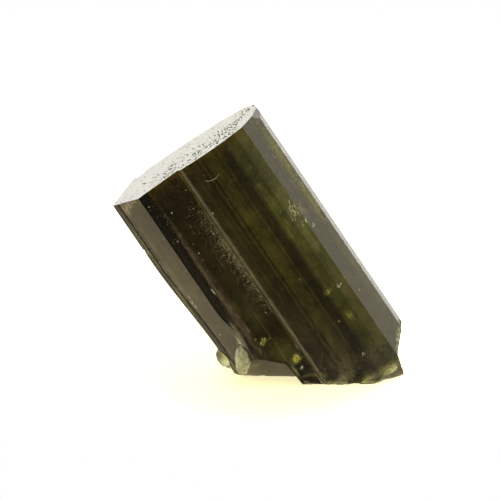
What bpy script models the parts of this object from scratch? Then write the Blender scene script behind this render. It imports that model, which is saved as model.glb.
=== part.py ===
"""A single vesuvianite crystal: a flattened, striated prism with a flat top, which leans on its broken foot.

The prism is grown downwards from its top face in its own frame (across, depth, height along the axis), then
leaned over, cut off level where it rests, and chipped. Sizes are in millimetres until they meet MM.
"""

import math

import bmesh
import bpy
from mathutils import Matrix, Vector, noise

MM = 0.001

# How the crystal stands
LEAN = math.radians(32.8)  # of its axis to the left
BACK_LEAN = math.radians(1.8)
TURN = math.radians(12.6)  # about its own axis
TOP_CENTRE = Vector((-4.825, 0.40, 15.15))  # the middle of the top face, from the middle of the footprint

# The prism
PRISM_LENGTH = 24.0  # past the foot, which is cut off level
TAPER_STARTS = 5.0  # below the top face, where the left side begins to draw in
TAPER_ENDS = 12.6
TAPER = 0.42
RING_DEPTHS = (5.0, 7.0, 9.0, 11.0, 12.6, 14.0, PRISM_LENGTH)

# Corners of the prism in its cross-section, left to right along each side: (across, depth)
LEFT_STRIP = ((-5.79, 0.06), (-5.76, -0.20), (-5.50, -0.54))
LEFT_GROOVE = ((-5.40, -0.42), (-5.36, -0.74))
FRONT_LEFT_FACE = (
    (-4.17, -2.33),
    (-3.53, -2.25),
    (-3.50, -2.20),
    (-3.06, -2.17),
    (-3.03, -2.12),
    (-0.98, -2.13),
)
RIDGE = ((-0.90, -2.40), (-0.70, -2.47))
FRONT_RIGHT_FACE = (
    (0.34, -2.61),
    (0.38, -2.55),
    (0.42, -2.62),
    (0.67, -2.65),
    (0.71, -2.59),
    (0.75, -2.67),
    (1.74, -2.76),
    (1.79, -2.69),
    (2.54, -2.67),
    (2.59, -2.60),
    (3.31, -2.56),
    (3.35, -2.49),
    (3.39, -2.54),
)
RIGHT_BEVEL = ((4.13, -2.37), (5.05, -1.60), (5.46, -1.22))
RIGHT_SIDE = ((5.72, -0.50), (5.71, 0.70))
BACK_RIGHT_BEVEL = ((4.78, 1.62), (4.70, 1.58), (3.94, 1.80))
BACK_FACE = (
    (2.72, 2.21),
    (2.62, 2.15),
    (1.30, 2.36),
    (1.22, 2.44),
    (-0.84, 2.57),
    (-0.92, 2.49),
    (-2.30, 2.56),
    (-2.38, 2.64),
    (-3.53, 2.63),
)
TAPERED = LEFT_STRIP + LEFT_GROOVE

# Narrow pyramid faces between the top and two bevels: three points of each, (across, depth, height), and
# roughly the way that it faces
PYRAMID_FACES = {
    "left_pyramid": (((-4.17, -2.33, 0.0), (-5.24, -0.70, 0.0), (-5.36, -0.74, -1.15)), (-1.0, -1.0, 0.5)),
    "right_pyramid": (((4.95, -1.62, 0.0), (5.63, -0.66, 0.0), (5.45, -1.05, -0.55)), (1.0, -1.0, 0.5)),
}

# Clean breaks at the foot: for each plane that bounds what is gone, a point of it and the way that it faces
FOOT_BREAKS = {
    "front_left_break": (
        ((-3.81, -2.20, -13.59), (-0.57, -0.55, -0.61)),
        ((-2.20, -2.13, -16.33), (-0.98, 0.15, -0.09)),
    ),
    "right_break": (
        ((4.16, -2.37, -18.92), (0.73, -0.19, -0.69)),
        ((3.86, -2.37, -20.08), (0.97, -0.06, -0.24)),
    ),
    "right_tip_break": (((3.33, -2.54, -19.32), (0.22, -0.80, -0.56)),),
    "back_right_break": (((3.60, 1.90, -18.60), (0.35, 0.62, -0.70)),),
}

# Shell-shaped chips: (across, depth, height) of the middle, radii, noise depth
CHIPS = {
    "top_back_nick": ((-3.02, 2.72, 0.05), (0.52, 0.42, 0.60), 0.05),
    "top_corner_nick": ((-3.60, 2.75, 0.10), (0.16, 0.20, 0.25), 0.03),
    "right_edge_chip": ((6.25, -0.90, -17.95), (0.90, 0.95, 0.70), 0.10),
    "left_side_nick": ((-5.98, -0.15, -3.85), (0.32, 0.45, 0.35), 0.04),
    "back_chip": ((-2.10, 3.60, -15.60), (1.75, 1.45, 1.30), 0.12),
}

# Small shells broken out of the front rim of the foot
RIM_CHIP_COUNT = 8
RIM_CHIP_RADII = (0.42, 0.14)  # at the left end and at the right end
RIM_CHIP_STRETCH = 1.5  # how much longer each is than it is deep
RIM_CHIP_WANDER = 0.45
RIM_CHIP_UP_AND_DOWN = 0.5
RIM_CHIP_BELOW_FLOOR = 0.12
RIM_CHIP_ROUGHNESS = 0.06
RIM_CHIP_START = Vector((-1.80, -2.50))  # (across, depth)
RIM_CHIP_END = Vector((2.45, -3.04))
RIM_CHIP_STEP = 1.7  # along the noise, so that no two are alike
RIM_CHIP_SEED = 4.0

# Rounded growths low on the left side, the last two resting beside the foot: middle, radii, noise depth
LUMPS = {
    "left_lump": ((-5.38, -0.25, -12.90), (0.50, 0.55, 0.70), 0.03),
    "corner_lump": ((-4.40, -1.42, -13.45), (0.48, 0.50, 1.02), 0.05),
    "left_foot_lump": ((-5.01, 0.86, -14.13), (0.40, 0.60, 0.62), 0.03),
    "back_left_lump": ((-4.50, 2.15, -14.50), (1.25, 0.85, 1.05), 0.06),
}

OLIVE = (0.045, 0.042, 0.012, 1.0)
ROUGHNESS = 0.18
REFRACTION = 1.71

# The uneven surface of lumps and shells
PEBBLE_WAVES = 1.7
PEBBLE_FALLOFF = 1.0
PEBBLE_LACUNARITY = 2.1
PEBBLE_OCTAVES = 3
SEED_SPREAD = 3.1

CUTTER_SIZE = 30.0
SAME_PLACE = 1e-6
LUMP_SUBDIVISIONS = 4
CHIP_SUBDIVISIONS = 5
RIM_SUBDIVISIONS = 3


def clear_scene():
    for obj in list(bpy.data.objects):
        bpy.data.objects.remove(obj, do_unlink=True)


def new_collection(name):
    collection = bpy.data.collections.new(name)
    bpy.context.scene.collection.children.link(collection)
    return collection


def standing_matrix():
    """The crystal's own frame, leaned and turned, with its top face where it stands."""
    lean = Matrix.Rotation(-BACK_LEAN, 4, "X") @ Matrix.Rotation(-LEAN, 4, "Y")
    return Matrix.Translation(TOP_CENTRE * MM) @ lean @ Matrix.Rotation(TURN, 4, "Z") @ Matrix.Scale(MM, 4)


def crystal_material():
    material = bpy.data.materials.new("vesuvianite")
    material.use_nodes = True
    shader = material.node_tree.nodes["Principled BSDF"]
    shader.inputs["Base Color"].default_value = OLIVE
    shader.inputs["Roughness"].default_value = ROUGHNESS
    shader.inputs["Metallic"].default_value = 0.0
    shader.inputs["IOR"].default_value = REFRACTION
    return material


def object_from(mesh_builder, name, collection):
    """A new object in the collection, from the bmesh that the builder returns in the crystal's own frame."""
    made = mesh_builder()
    bmesh.ops.recalc_face_normals(made, faces=made.faces)
    mesh = bpy.data.meshes.new(name)
    made.to_mesh(mesh)
    made.free()
    mesh.transform(standing_matrix())
    obj = bpy.data.objects.new(name, mesh)
    collection.objects.link(obj)
    return obj


def drawn_in(depth_below_top):
    """How far the left side has drawn in at this depth below the top face."""
    share = (depth_below_top - TAPER_STARTS) / (TAPER_ENDS - TAPER_STARTS)
    share = min(max(share, 0.0), 1.0)
    return TAPER * share * share * (3.0 - 2.0 * share)


def section():
    return (
        LEFT_STRIP
        + LEFT_GROOVE
        + FRONT_LEFT_FACE
        + RIDGE
        + FRONT_RIGHT_FACE
        + RIGHT_BEVEL
        + RIGHT_SIDE
        + BACK_RIGHT_BEVEL
        + BACK_FACE
    )


def prism():
    """The section extruded down from the top face, ring by ring, with its left side drawn in."""
    made = bmesh.new()
    corners = section()
    face = made.faces.new([made.verts.new((across, depth, 0.0)) for across, depth in corners])
    tapered = {made.verts[:][index] for index, corner in enumerate(corners) if corner in TAPERED}
    above = 0.0
    for below in RING_DEPTHS:
        grown = bmesh.ops.extrude_face_region(made, geom=[face])["geom"]
        ring = [item for item in grown if isinstance(item, bmesh.types.BMVert)]
        if above > 0.0:
            made.faces.remove(face)
        face = next(item for item in grown if isinstance(item, bmesh.types.BMFace))
        step = drawn_in(below) - drawn_in(above)
        for vertex in ring:
            twin = min(tapered, key=lambda old: (old.co - vertex.co).length)
            if (twin.co - vertex.co).length < SAME_PLACE:
                tapered.remove(twin)
                tapered.add(vertex)
                vertex.co.x += step
            vertex.co.z = -below
        above = below
    return made


def block_beyond(planes):
    """A large block trimmed back to what lies beyond every plane, each a point and the way that it faces."""
    made = bmesh.new()
    bmesh.ops.create_cube(made, size=CUTTER_SIZE, matrix=Matrix.Translation(Vector(planes[0][0])))
    for point, facing in planes:
        everything = made.verts[:] + made.edges[:] + made.faces[:]
        cut = bmesh.ops.bisect_plane(
            made, geom=everything, plane_co=Vector(point), plane_no=Vector(facing), clear_inner=True
        )["geom_cut"]
        rim = [item for item in cut if isinstance(item, bmesh.types.BMEdge)]
        bmesh.ops.contextual_create(made, geom=rim)
    return made


def block_beyond_points(points, outward):
    first, second, third = (Vector(point) for point in points)
    facing = (second - first).cross(third - first).normalized()
    if facing.dot(Vector(outward)) < 0:
        facing.negate()
    return block_beyond(((first, facing),))


def pebble(middle, radii, roughness, subdivisions):
    """A ball with its own radii and an uneven surface, for a lump or for the shell of a chip."""
    made = bmesh.new()
    bmesh.ops.create_icosphere(made, subdivisions=subdivisions, radius=1.0)
    seed = Vector(middle) * SEED_SPREAD
    for vertex in made.verts:
        way = vertex.co.normalized()
        place = way * PEBBLE_WAVES + seed
        swell = roughness * noise.fractal(place, PEBBLE_FALLOFF, PEBBLE_LACUNARITY, PEBBLE_OCTAVES)
        vertex.co = Vector(middle) + Vector(way[axis] * radii[axis] for axis in range(3)) + way * swell
    return made


def floor_block():
    made = bmesh.new()
    below = Matrix.Translation((0.0, 0.0, -CUTTER_SIZE / 2))
    own_frame = standing_matrix().inverted() @ Matrix.Scale(MM, 4)
    bmesh.ops.create_cube(made, size=CUTTER_SIZE, matrix=own_frame @ below)
    return made


def height_at_floor(across, depth):
    """The height along the axis at which the line through this place in the section meets the floor."""
    standing = standing_matrix()
    top = standing @ Vector((across, depth, 0.0))
    unit = standing.to_3x3() @ Vector((0.0, 0.0, 1.0))
    return -top.z / unit.z


def rim_chips():
    """The middle and radii of each small shell along the front rim of the foot, no two alike."""
    first, last = RIM_CHIP_RADII
    for index in range(RIM_CHIP_COUNT):
        wander = noise.noise_vector(Vector((index * RIM_CHIP_STEP, RIM_CHIP_SEED, 0.0))) * RIM_CHIP_WANDER
        share = (index + wander.x) / (RIM_CHIP_COUNT - 1)
        across, depth = RIM_CHIP_START.lerp(RIM_CHIP_END, share)
        height = height_at_floor(across, depth) - RIM_CHIP_BELOW_FLOOR + RIM_CHIP_UP_AND_DOWN * wander.y
        radius = (first + (last - first) * share) * (1.0 + wander.z)
        yield Vector((across, depth, height)), (RIM_CHIP_STRETCH * radius, radius, radius)


def add_boolean(obj, operation, others):
    modifier = obj.modifiers.new(others.name, "BOOLEAN")
    modifier.operation = operation
    modifier.solver = "EXACT"
    modifier.operand_type = "COLLECTION"
    modifier.collection = others


def tool_collection(name):
    """A collection of cutters or of lumps that are joined on, none of which is a piece of its own."""
    collection = new_collection(name)
    collection.hide_render = True
    return collection


def hide_tools(collection):
    for obj in collection.objects:
        obj.hide_render = True
        obj.display_type = "WIRE"


def make_lumps(collection):
    for name, (middle, radii, roughness) in LUMPS.items():
        object_from(lambda: pebble(middle, radii, roughness, LUMP_SUBDIVISIONS), name, collection)
    hide_tools(collection)


def make_cutters(collection):
    for name, (points, outward) in PYRAMID_FACES.items():
        object_from(lambda: block_beyond_points(points, outward), name, collection)
    for name, planes in FOOT_BREAKS.items():
        object_from(lambda: block_beyond(planes), name, collection)
    for name, (middle, radii, roughness) in CHIPS.items():
        object_from(lambda: pebble(middle, radii, roughness, CHIP_SUBDIVISIONS), name, collection)
    for index, (middle, radii) in enumerate(rim_chips()):
        shell = (middle, radii, RIM_CHIP_ROUGHNESS, RIM_SUBDIVISIONS)
        object_from(lambda: pebble(*shell), f"rim_chip_{index}", collection)
    hide_tools(collection)


def make_floor(collection):
    object_from(floor_block, "floor_cut", collection)
    hide_tools(collection)


def main():
    clear_scene()
    pieces = new_collection("vesuvianite_crystal")
    cutters = tool_collection("cutters")
    lumps = tool_collection("lumps_joined_on")
    floor = tool_collection("floor")
    crystal = object_from(prism, "crystal", pieces)
    crystal.data.materials.append(crystal_material())
    make_cutters(cutters)
    make_lumps(lumps)
    make_floor(floor)
    add_boolean(crystal, "DIFFERENCE", cutters)
    add_boolean(crystal, "UNION", lumps)
    add_boolean(crystal, "DIFFERENCE", floor)


main()
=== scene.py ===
"""Finish for a vesuvianite crystal: a see-through olive prism, pitted on top and broken at the foot.

The crystal is grown in its own frame, in millimetres: across its broad face, depth away from that face,
and height along its axis, which is 0 at the top face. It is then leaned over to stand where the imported
solid stands.
"""

import math

import bmesh
import bpy
import numpy as np
from mathutils import Matrix, Vector, noise
from mathutils.bvhtree import BVHTree


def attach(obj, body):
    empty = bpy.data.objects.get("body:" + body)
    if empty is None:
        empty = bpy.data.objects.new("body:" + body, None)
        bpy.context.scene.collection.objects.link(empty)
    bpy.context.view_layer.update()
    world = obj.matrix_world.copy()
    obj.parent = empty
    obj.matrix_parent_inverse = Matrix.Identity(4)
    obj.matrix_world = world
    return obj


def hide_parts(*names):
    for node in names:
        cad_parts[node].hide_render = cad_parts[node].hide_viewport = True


bl_info = {
    "name": "Vesuvianite Crystal",
    "version": (1, 0, 0),
    "blender": (4, 5, 0),
    "location": "View3D > Sidebar > Crystal",
    "description": "Grows a striated crystal, its dust and its stage around a packed solid",
    "category": "Object",
}

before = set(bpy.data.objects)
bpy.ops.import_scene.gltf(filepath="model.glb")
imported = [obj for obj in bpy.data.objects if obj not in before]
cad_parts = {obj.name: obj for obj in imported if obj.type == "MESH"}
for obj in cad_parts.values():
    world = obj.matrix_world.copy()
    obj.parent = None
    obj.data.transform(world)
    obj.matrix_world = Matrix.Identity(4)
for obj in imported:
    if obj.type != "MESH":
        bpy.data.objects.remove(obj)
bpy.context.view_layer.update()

MM = 0.001
BODY = "root"
NODE = "crystal"

# How the crystal stands
LEAN = math.radians(32.8)  # of its axis to the left
BACK_LEAN = math.radians(1.8)
TURN = math.radians(12.6)  # about its own axis
TOP_CENTRE = Vector((-4.825, 0.40, 15.15))

# The prism
PRISM_ABOVE = 1.0  # past the top face, which is cut off afterwards
PRISM_LENGTH = 24.0
ROW_STEP = 0.50

# How far the corners on the left draw in, and between which depths below the top
LEFT_TAPER = (Vector((0.36, 0.0)), 5.0, 12.6)
BEVEL_TAPER = (Vector((0.36, 0.043)), 9.4, 12.0)

# Corners of the prism in its cross-section, left to right along each side: (across, depth)
LEFT_STRIP = ((-5.79, 0.06), (-5.76, -0.20), (-5.50, -0.54))
LEFT_GROOVE = ((-5.42, -0.57), (-5.36, -0.74))
FRONT_LEFT_FACE = ((-4.17, -2.33), (-3.53, -2.24), (-0.99, -2.13))
RIDGE = ((-0.93, -2.35), (-0.74, -2.47))
FRONT_RIGHT_FACE = (
    (0.34, -2.61),
    (0.38, -2.55),
    (0.42, -2.62),
    (0.67, -2.65),
    (0.71, -2.59),
    (0.75, -2.67),
    (1.76, -2.74),
    (2.57, -2.66),
    (3.32, -2.56),
    (3.35, -2.52),
    (3.38, -2.54),
)
RIGHT_BEVEL = ((4.13, -2.37), (5.05, -1.60), (5.47, -1.21))
RIGHT_SIDE = ((5.74, -0.62), (5.72, 0.70))
BACK_RIGHT_BEVEL = ((4.78, 1.62), (4.70, 1.58), (3.94, 1.80))
BACK_FACE = (
    *((2.72, 2.21), (2.62, 2.15), (1.26, 2.38), (-0.84, 2.57)),
    *((-0.92, 2.49), (-2.34, 2.59), (-3.53, 2.63)),
)
TAPERS = {corner: LEFT_TAPER for corner in LEFT_STRIP + LEFT_GROOVE} | {FRONT_LEFT_FACE[0]: BEVEL_TAPER}

# Fine growth lines along each side: spacing of the mesh columns and depth of the lines
SIDE_DETAIL = (
    (LEFT_STRIP + LEFT_GROOVE, 0.07, 0.003),
    (FRONT_LEFT_FACE + RIDGE, 0.05, 0.003),
    (FRONT_RIGHT_FACE, 0.05, 0.004),
    (RIGHT_BEVEL + RIGHT_SIDE, 0.10, 0.002),
    (BACK_RIGHT_BEVEL + BACK_FACE, 0.10, 0.006),
)
LINES_PER_MM = 5.0
LINES_DRIFT_PER_MM = 0.06
LINE_MARGIN = 0.08  # kept clear of growth lines beside each corner

# Narrow pyramid faces between the top and two bevels: three points of each, roughly the way that it
# faces, and a point and the facing of the plane where it ends
PYRAMID_FACES = (
    (
        ((-4.17, -2.33, 0.0), (-5.26, -0.80, 0.0), (-5.36, -0.74, -1.20)),
        (-1.0, -1.0, 0.5),
        ((-5.36, -0.74, 0.0), (0.60, -0.80, 0.0)),
    ),
    (
        ((5.06, -1.55, 0.0), (5.70, -0.50, 0.0), (5.48, -1.18, -0.55)),
        (1.0, -1.0, 0.5),
        ((4.90, -1.70, 0.0), (0.64, 0.77, 0.0)),
    ),
)

# Clean breaks at the foot: a point of each plane that bounds what is gone, and the way that it faces
FOOT_BREAKS = (
    (
        ((-3.86, -2.24, -13.64), (-0.57, -0.55, -0.61)),
        ((-2.20, -2.13, -16.33), (-0.98, 0.15, -0.09)),
    ),
    (
        ((4.20, -2.37, -18.97), (0.73, -0.19, -0.69)),
        ((3.90, -2.37, -20.08), (0.97, -0.06, -0.24)),
    ),
    (((3.33, -2.54, -19.32), (0.22, -0.80, -0.56)),),
    (((3.60, 1.90, -18.60), (0.35, 0.62, -0.70)),),
)

# Shell-shaped chips: middle, radii, noise depth
CHIPS = (
    ((-3.02, 2.72, 0.05), (0.52, 0.42, 0.60), 0.05),
    ((-3.60, 2.75, 0.10), (0.16, 0.20, 0.25), 0.03),
    ((6.25, -0.90, -17.95), (0.90, 0.95, 0.70), 0.10),
    ((-5.98, -0.15, -3.85), (0.32, 0.45, 0.35), 0.04),
    ((-2.10, 3.60, -15.60), (1.75, 1.45, 1.30), 0.12),
    ((-2.50, -2.60, -17.25), (0.56, 0.90, 0.66), 0.08),
    ((4.20, -2.20, -20.60), (0.40, 0.60, 0.44), 0.05),
)

# Frosted growth at the lower left corner: middle, radii, noise depth, slant
CORNER_LUMP = ((-4.46, -1.62, -13.32), (0.50, 0.45, 1.06), 0.09, math.radians(33.0))

# Rounded growths low on the left side: middle, radii, noise depth
LUMPS = (
    ((-5.38, 0.13, -13.01), (0.50, 0.55, 0.70), 0.03),
    ((-5.01, 0.86, -14.13), (0.40, 0.60, 0.62), 0.03),
    ((-4.50, 2.15, -14.50), (1.25, 0.85, 1.05), 0.06),
)

# Small shells broken out of the front rim of the foot
RIM_CHIP_COUNT = 14
RIM_CHIP_RADII = (0.32, 0.10)  # at the left end and at the right end
RIM_CHIP_START = Vector((-2.15, -2.30))
RIM_CHIP_END = Vector((2.45, -3.00))
RIM_CHIP_ROUGHNESS = 0.06
RIM_CHIP_SEEDS = (1.0, 12.0, 23.0)

# Dust: spread of the specks left of the ridge, and the lowest, usual and highest place for them
SPECK_SEED = 11
SPECK_BAND = (0.15, 0.36)  # at the lowest place and at the highest
SPECK_HEIGHTS = (-12.0, -6.2, -2.2)
BIG_SPECKS = (
    *((-2.89, -2.12), (-0.68, -3.68), (-3.64, -3.95), (-4.27, -3.30), (-4.31, -5.95), (-5.58, -3.87)),
    *((-2.93, -5.45), (-2.97, -5.95), (-1.27, -1.40), (-3.93, -0.87), (-4.77, -11.20), (-1.50, -11.45)),
    *((4.16, -12.50), (-0.86, -12.70)),
)
FIBRE = ((0.12, -1.56), (0.36, -1.71), (0.72, -1.77), (1.11, -1.66))  # (across, height)
FIBRE_STEPS = 6  # between two of its points
FIBRE_SIDES = 6

# Slivers that stand for small healed cracks
CRACK_SEED = 5
SLIVER_SECTIONS = 4
SLIVER_LENGTHS = (0.05, 0.28)
SLIVER_WIDTHS = (0.004, 0.013)
SLIVER_BEND = 0.03

# Clusters of them: middle (across, height), spread of each, how many, slant, how yellow-green, how bold
CRACKS = (
    (3.68, -6.75, 0.16, 0.58, 30, 0.15, 0.0, 1.6),
    (4.00, -6.60, 0.10, 0.40, 8, 0.4, 0.2, 1.3),
    (3.80, -7.75, 0.05, 0.08, 5, 0.5, 0.8, 1.6),
    (4.15, -7.75, 0.04, 0.06, 6, 0.9, 0.0, 2.0),
    (4.40, -8.30, 0.07, 0.08, 6, 1.0, 0.0, 1.6),
    (5.30, -5.80, 0.05, 0.25, 12, 0.3, 0.6, 1.6),
    (5.22, -3.60, 0.13, 1.40, 46, 0.2, 0.8, 1.2),
    (5.22, -8.00, 0.12, 1.60, 26, 0.2, 0.8, 1.0),
    (3.45, -12.75, 0.12, 0.08, 12, 0.9, 0.2, 1.1),
    (2.60, -12.60, 0.20, 0.16, 14, 0.6, 0.9, 1.0),
    (4.48, -13.90, 0.02, 0.06, 3, 0.1, 0.0, 1.0),
    (-2.73, -12.95, 0.17, 0.19, 26, 0.6, 0.9, 1.0),
    (-4.05, -12.10, 0.06, 0.22, 30, 0.4, 0.1, 1.4),
    (-5.11, -8.50, 0.06, 0.22, 16, 0.2, 0.1, 1.2),
    (-3.57, -8.15, 0.02, 0.10, 6, -0.2, 0.1, 1.8),
    (-5.36, -5.40, 0.02, 0.35, 12, 0.0, 0.5, 1.0),
    (-1.50, -16.00, 0.07, 0.06, 8, 0.5, 0.0, 0.8),
    (2.30, -17.50, 0.05, 0.05, 5, 0.5, 0.0, 0.7),
    (3.55, -19.75, 0.15, 0.10, 12, 0.9, 0.4, 1.0),
    (4.95, -18.15, 0.16, 0.14, 14, 0.9, 0.1, 0.8),
)

# Soft flakes: middle (across, height), half width and half height, how well each covers, and its hue,
# from -1 for violet-brown over 0 for pale to 1 for yellow-green
# The violet-brown flakes are partly a painted reflection of the floor, chiefly low on the foot and on the
# left pyramid face.
FLAKES = (
    (-1.55, -15.27, 0.42, 0.46, 0.90, 1.00),
    (-1.42, -15.12, 0.20, 0.22, 0.60, 0.80),
    (-2.73, -12.97, 0.40, 0.38, 0.18, 1.00),
    (-2.10, -14.20, 1.20, 1.40, 0.08, 1.00),
    (-2.90, -9.90, 0.18, 0.60, 0.12, 1.00),
    (-2.10, -10.80, 1.10, 2.40, 0.05, 0.80),
    (3.75, -6.75, 0.75, 0.95, 0.08, 0.45),
    (4.35, -6.90, 0.45, 0.70, 0.08, 0.20),
    (3.00, -14.75, 0.36, 0.50, 0.26, 1.00),
    (2.70, -12.60, 0.50, 0.34, 0.16, 1.00),
    (3.72, -9.50, 0.28, 1.00, 0.10, 1.00),
    (2.16, -14.67, 0.14, 0.10, 0.40, 0.60),
    (3.22, -19.45, 0.90, 0.55, 0.40, 0.70),
    (3.42, -19.74, 0.42, 0.24, 0.60, 0.50),
    (1.80, -19.20, 1.20, 0.45, 0.16, 0.60),
    (0.30, -18.10, 1.00, 0.40, 0.14, 0.10),
    (5.25, -17.90, 0.24, 0.16, 0.40, 0.25),
    (5.02, -18.10, 0.22, 0.18, 0.50, 0.25),
    (4.78, -18.32, 0.22, 0.18, 0.45, 0.25),
    (4.52, -18.56, 0.20, 0.16, 0.40, 0.25),
    (4.30, -18.76, 0.16, 0.14, 0.35, 0.25),
    (5.20, -3.20, 0.40, 3.00, 0.24, 0.85),
    (5.28, -7.00, 0.36, 2.40, 0.22, 0.85),
    (5.20, -12.50, 0.40, 5.00, 0.06, 0.60),
    (-3.84, -7.50, 0.36, 8.00, 0.035, -0.90),
    (-3.36, -7.00, 0.17, 5.60, 0.22, -1.00),
    (-3.36, -11.00, 0.34, 4.00, 0.16, -1.00),
    (-3.78, -11.60, 0.20, 1.80, 0.20, -0.40),
    (-2.04, -15.90, 0.16, 1.00, 0.22, 0.80),
    (-0.84, -14.50, 0.20, 6.00, 0.06, -0.40),
    (-5.58, -3.60, 0.12, 3.20, 0.20, 0.90),
    (-5.46, -8.00, 0.12, 2.20, 0.20, 0.90),
    (0.60, -17.40, 1.20, 1.80, 0.12, -1.00),
    (2.90, -18.20, 1.40, 1.40, 0.05, -0.80),
    (0.60, -14.00, 1.60, 3.60, 0.04, -1.00),
    (-4.98, -0.30, 0.40, 0.36, 0.55, -0.90),
    (-4.64, -0.13, 0.46, 0.20, 0.50, -0.90),
    (-5.22, -0.58, 0.16, 0.52, 0.50, -0.90),
    (-4.10, -14.30, 0.60, 0.40, 0.10, 0.60),
    (-3.00, -15.10, 0.50, 0.36, 0.05, -0.80),
)
FLAKE_RINGS = 6
FLAKE_SIDES = 28
FLAKE_LIFT = 0.006
FLAKE_SINK = 0.010
FLAKE_WOBBLE = 0.35
FLAKE_PULLS = (1.0, 0.8, 0.6, 0.4, 0.2, 0.0)  # how far a corner may be pulled in, to stay on the crystal

# The top face
TOP_HALF = Vector((6.2, 3.1))
TOP_STEP = Vector((0.03, 0.06))
TOP_RIM = 0.14  # left smooth along the front edge
PIT_DEPTH = 0.07
NEAR_TOP = 0.3

# Growth zones across the broad face: the tone of each and where it starts and ends. Between zones they blend
ZONE_REACH = 6.5
GROWTH_ZONES = (
    ("strip_tone", -4.60),
    ("black_tone", -4.15, -3.56),
    ("dark_tone", -3.50, -1.10),
    ("ridge_tone", -0.97, -0.78),
    ("brown_tone", -0.62, 0.30),
    ("dark_tone", 0.36, 0.50),
    ("olive_tone", 0.56),
    ("dark_tone", 0.62, 0.74),
    ("olive_tone", 0.84, 1.78),
    ("dark_tone", 1.86, 2.42),
    ("green_tone", 2.56, 3.32),
    ("olive_tone", 3.36),
    ("pale_tone", 3.40, 4.06),
    ("bevel_tone_and_painted_shade", 4.16, 4.85),
    ("outer_tone", 5.00, 5.42),
    ("rim_tone", 5.48),
)

# Stripes along the axis: middle, half the width where it starts and where it is widest, the heights of
# those two places, and its tone
STRIPES = (
    (-3.30, 0.01, 0.44, -0.9, -8.5, "grey_tone"),
    (-2.14, 0.001, 0.04, -9.5, -12.5, "ridge_tone"),
)

# Unevenness of the stone: its frequency along each axis, detail, and how dark and light it gets
STONE_NOISE = (
    ("Growth streaks", (2.4, 0.3, 0.04), 2.0, 0.75, 1.2),
    ("Fine growth lines", (14.0, 1.0, 0.05), 1.0, 0.85, 1.12),
    ("Clouds", (1.1, 0.5, 0.9), 5.0, 0.30, 1.65),
    ("Grit", (7.0, 7.0, 7.0), 3.0, 0.80, 1.20),
)
FROST_GRAIN = ((9.0, 9.0, 9.0), 4.0, 0.0, 1.0)

# Cut surfaces
CUT_REACH = 9.0
CUT_STEP = 0.11
SHELL_DEPTH = 0.05
FOOT_ROUGHNESS = 0.16

KINDS = ("grown", "top_face", "pyramid", "broken", "frosted")
# The faces of the left bevel, picked by the way that they face, get painted shade.
LEFT_BEVEL_FACING = Vector((-0.80, -0.60, 0.0))
LEFT_BEVEL_ENDS = -0.62  # depth of its left edge
SAME_FACING = 0.97
SHARP_ANGLE = math.radians(14.0)


def standing_matrix():
    """The crystal's own frame in millimetres, leaned and turned, with its top face where it stands."""
    lean = Matrix.Rotation(-BACK_LEAN, 4, "X") @ Matrix.Rotation(-LEAN, 4, "Y")
    return Matrix.Translation(TOP_CENTRE * MM) @ lean @ Matrix.Rotation(TURN, 4, "Z") @ Matrix.Scale(MM, 4)


# ---------------------------------------------------------------- shapes


def smooth_step(share):
    share = min(max(share, 0.0), 1.0)
    return share * share * (3.0 - 2.0 * share)


def drawn_in(corner, height):
    """How far this corner of the section has drawn in at this height."""
    if corner not in TAPERS:
        return Vector((0.0, 0.0))
    shift, starts, ends = TAPERS[corner]
    return shift * smooth_step((-height - starts) / (ends - starts))


def growth_lines(across, height, depth_of_lines, margin):
    """The relief of the growth lines here: long, sharp-edged lines that slowly drift along the axis."""
    fine = noise.noise(Vector((across * LINES_PER_MM, height * LINES_DRIFT_PER_MM, 3.0)))
    coarse = noise.noise(Vector((across * LINES_PER_MM / 3.0, height * LINES_DRIFT_PER_MM / 2.0, 9.0)))
    clear = min(1.0, margin / LINE_MARGIN)
    return depth_of_lines * clear * (fine + 1.4 * coarse)


def section_columns():
    """Each column of the prism: its place, outward way, relief, margin and the corners beside it."""
    corners = [(corner, step, depth) for run, step, depth in SIDE_DETAIL for corner in run]
    columns = []
    for (first, step, depth), (second, _, _) in zip(corners, corners[1:] + corners[:1]):
        start = Vector(first)
        end = Vector(second)
        length = (end - start).length
        outward = Vector(((end - start).y, -(end - start).x)).normalized()
        count = max(1, round(length / step))
        for index in range(count):
            share = index / count
            place = start.lerp(end, share)
            margin = min(share, 1.0 - share) * length
            columns.append((place, outward, depth, margin, first, second, share))
    return columns


def join_rings(made, rings):
    """Faces between each ring of corners and the next, and one over each end."""
    for near, far in zip(rings, rings[1:]):
        for index in range(len(near)):
            after = (index + 1) % len(near)
            made.faces.new((near[index], near[after], far[after], far[index]))
    made.faces.new(rings[0][::-1])
    made.faces.new(rings[-1])


def prism():
    """The striated prism: rings of corners joined into a closed tube with two flat ends."""
    made = bmesh.new()
    columns = section_columns()
    rows = round((PRISM_ABOVE + PRISM_LENGTH) / ROW_STEP)
    rings = []
    for row in range(rows + 1):
        height = PRISM_ABOVE - row * ROW_STEP
        ring = []
        for place, outward, depth, margin, first, second, share in columns:
            lines = growth_lines(place.x + place.y, height, depth, margin)
            taper = drawn_in(first, height).lerp(drawn_in(second, height), share)
            spot = place + outward * lines + taper
            ring.append(made.verts.new((spot.x, spot.y, height)))
        rings.append(ring)
    join_rings(made, rings)
    bmesh.ops.recalc_face_normals(made, faces=made.faces)
    return made


def relief_block(half, counts, relief, thickness):
    """A block whose lower side has the relief that is given as a function of the place on it."""
    made = bmesh.new()
    bmesh.ops.create_grid(made, x_segments=counts[0], y_segments=counts[1], size=1.0)
    lower_side = made.faces[:]
    for vertex in made.verts:
        first, second = vertex.co.x * half[0], vertex.co.y * half[1]
        vertex.co = (first, second, relief(first, second))
    grown = bmesh.ops.extrude_face_region(made, geom=lower_side)["geom"]
    for vertex in (item for item in grown if isinstance(item, bmesh.types.BMVert)):
        vertex.co.z = thickness
    bmesh.ops.recalc_face_normals(made, faces=made.faces)
    return made


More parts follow.
